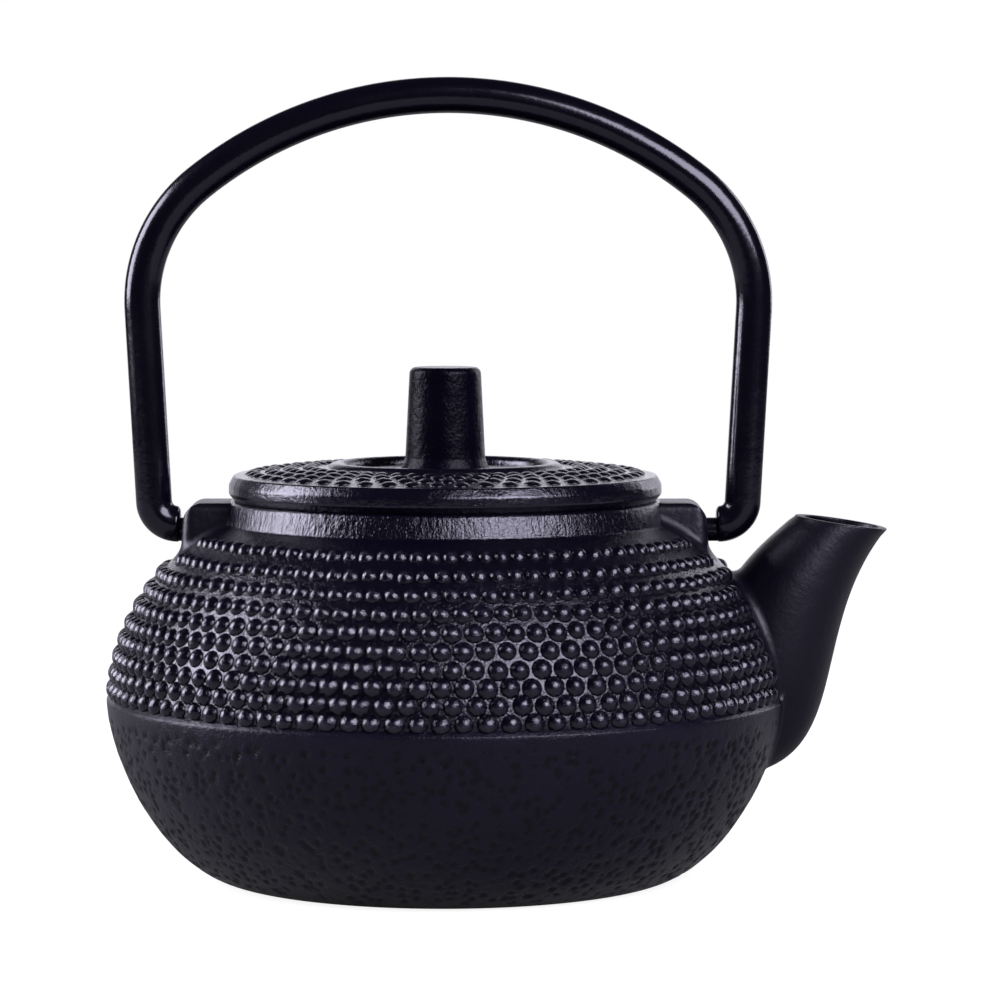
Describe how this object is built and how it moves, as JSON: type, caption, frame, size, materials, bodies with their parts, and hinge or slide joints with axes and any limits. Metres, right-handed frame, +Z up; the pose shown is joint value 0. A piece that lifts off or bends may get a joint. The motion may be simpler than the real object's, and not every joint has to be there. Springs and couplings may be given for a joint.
{
  "type": "cast iron teapot",
  "caption": "Small round cast iron teapot with a studded shoulder, short spout, swinging bail handle, lift-off lid with post knob and a lift-out steel infuser basket.",
  "frame": {"origin": "centre of the flat base, on the axis of the round body, at the surface that the teapot stands on", "axes": "+X towards the spout, +Y along the side of the body, +Z up"},
  "size_m": [0.1288, 0.1118, 0.1315],
  "materials": {
    "black_iron": "satin black lacquer on cast iron",
    "bail_iron": "smooth glossy black lacquer",
    "steel": "plain stainless steel",
    "steel_mesh": "fine stainless steel mesh"
  },
  "bodies": {
    "pot": {"pot_body": "black_iron"},
    "bail": {"bail_handle": "bail_iron"},
    "infuser": {"infuser_collar": "steel", "infuser_screen": "steel_mesh", "infuser_base_screen": "steel_mesh", "infuser_base_ring": "steel"},
    "lid": {"lid": "black_iron", "lid_knob": "black_iron", "knob_screw": "steel", "knob_washer": "steel"}
  },
  "joints": [
    {"name": "bail_swing", "type": "hinge", "parent": "pot", "child": "bail", "pos_m": [0, 0, 0.0571], "axis": [1, 0, 0], "range_deg": [-100, 100]},
    {"name": "infuser_lift", "type": "slide", "parent": "pot", "child": "infuser", "axis": [0, 0, 1], "range_m": [0, 0.032]},
    {"name": "lid_lift", "type": "slide", "parent": "infuser", "child": "lid", "axis": [0, 0, 1], "range_m": [0, 0.008]}
  ]
}
